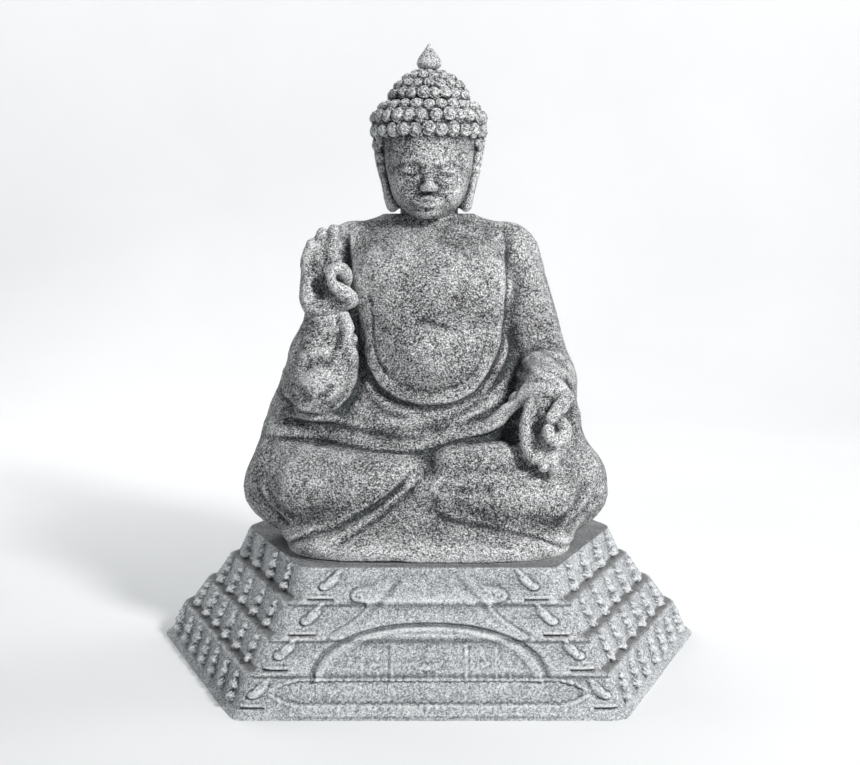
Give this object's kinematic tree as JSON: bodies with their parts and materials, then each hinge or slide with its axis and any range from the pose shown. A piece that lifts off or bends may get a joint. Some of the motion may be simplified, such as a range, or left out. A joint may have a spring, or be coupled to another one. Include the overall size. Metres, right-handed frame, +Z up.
{
  "type": "buddha statue",
  "caption": "Seated stone buddha with a raised hand and a lowered hand, on a stepped six-sided pedestal with carved rows of small figures; stands on the ground as a devotional figure.",
  "frame": {"origin": "centre of the pedestal's underside", "axes": "+Z up, the figure faces -Y, +X is the figure's left hand side"},
  "size_m": [1.2014, 1.046, 1.3],
  "materials": {
    "pedestal_granite": "bush-hammered",
    "figure_granite": "honed, weathered",
    "cast_core": "cast, rough",
    "mortar": "matt",
    "stainless_pin": "drawn"
  },
  "bodies": {
    "root": {"course_1_front_left": "pedestal_granite", "course_1_front_right": "pedestal_granite", "course_1_left_front": "pedestal_granite", "course_1_left_rear": "pedestal_granite", "course_1_right_front": "pedestal_granite", "course_1_right_rear": "pedestal_granite", "course_1_rear": "pedestal_granite", "course_2_front_left": "pedestal_granite", "course_2_front_right": "pedestal_granite", "course_2_left_front": "pedestal_granite", "course_2_left_rear": "pedestal_granite", "course_2_right_front": "pedestal_granite", "course_2_right_rear": "pedestal_granite", "course_2_rear": "pedestal_granite", "course_3_front_left": "pedestal_granite", "course_3_front_right": "pedestal_granite", "course_3_left_front": "pedestal_granite", "course_3_left_rear": "pedestal_granite", "course_3_right_front": "pedestal_granite", "course_3_right_rear": "pedestal_granite", "course_3_rear": "pedestal_granite", "course_4_front_left": "pedestal_granite", "course_4_front_right": "pedestal_granite", "course_4_left_front": "pedestal_granite", "course_4_left_rear": "pedestal_granite", "course_4_right_front": "pedestal_granite", "course_4_right_rear": "pedestal_granite", "course_4_rear": "pedestal_granite", "front_panel_left": "pedestal_granite", "front_panel_centre": "pedestal_granite", "front_panel_right": "pedestal_granite", "seat_slab": "pedestal_granite", "core_block": "cast_core", "mortar_bed": "mortar", "lap_block": "figure_granite", "torso_block": "figure_granite", "head_block": "figure_granite", "right_hand": "figure_granite", "left_hand": "figure_granite", "crown_jewel": "figure_granite", "seat_dowels": "stainless_pin", "waist_dowels": "stainless_pin", "neck_dowel": "stainless_pin", "crown_dowel": "stainless_pin", "right_wrist_dowel": "stainless_pin", "left_wrist_dowel": "stainless_pin"}
  },
  "joints": []
}
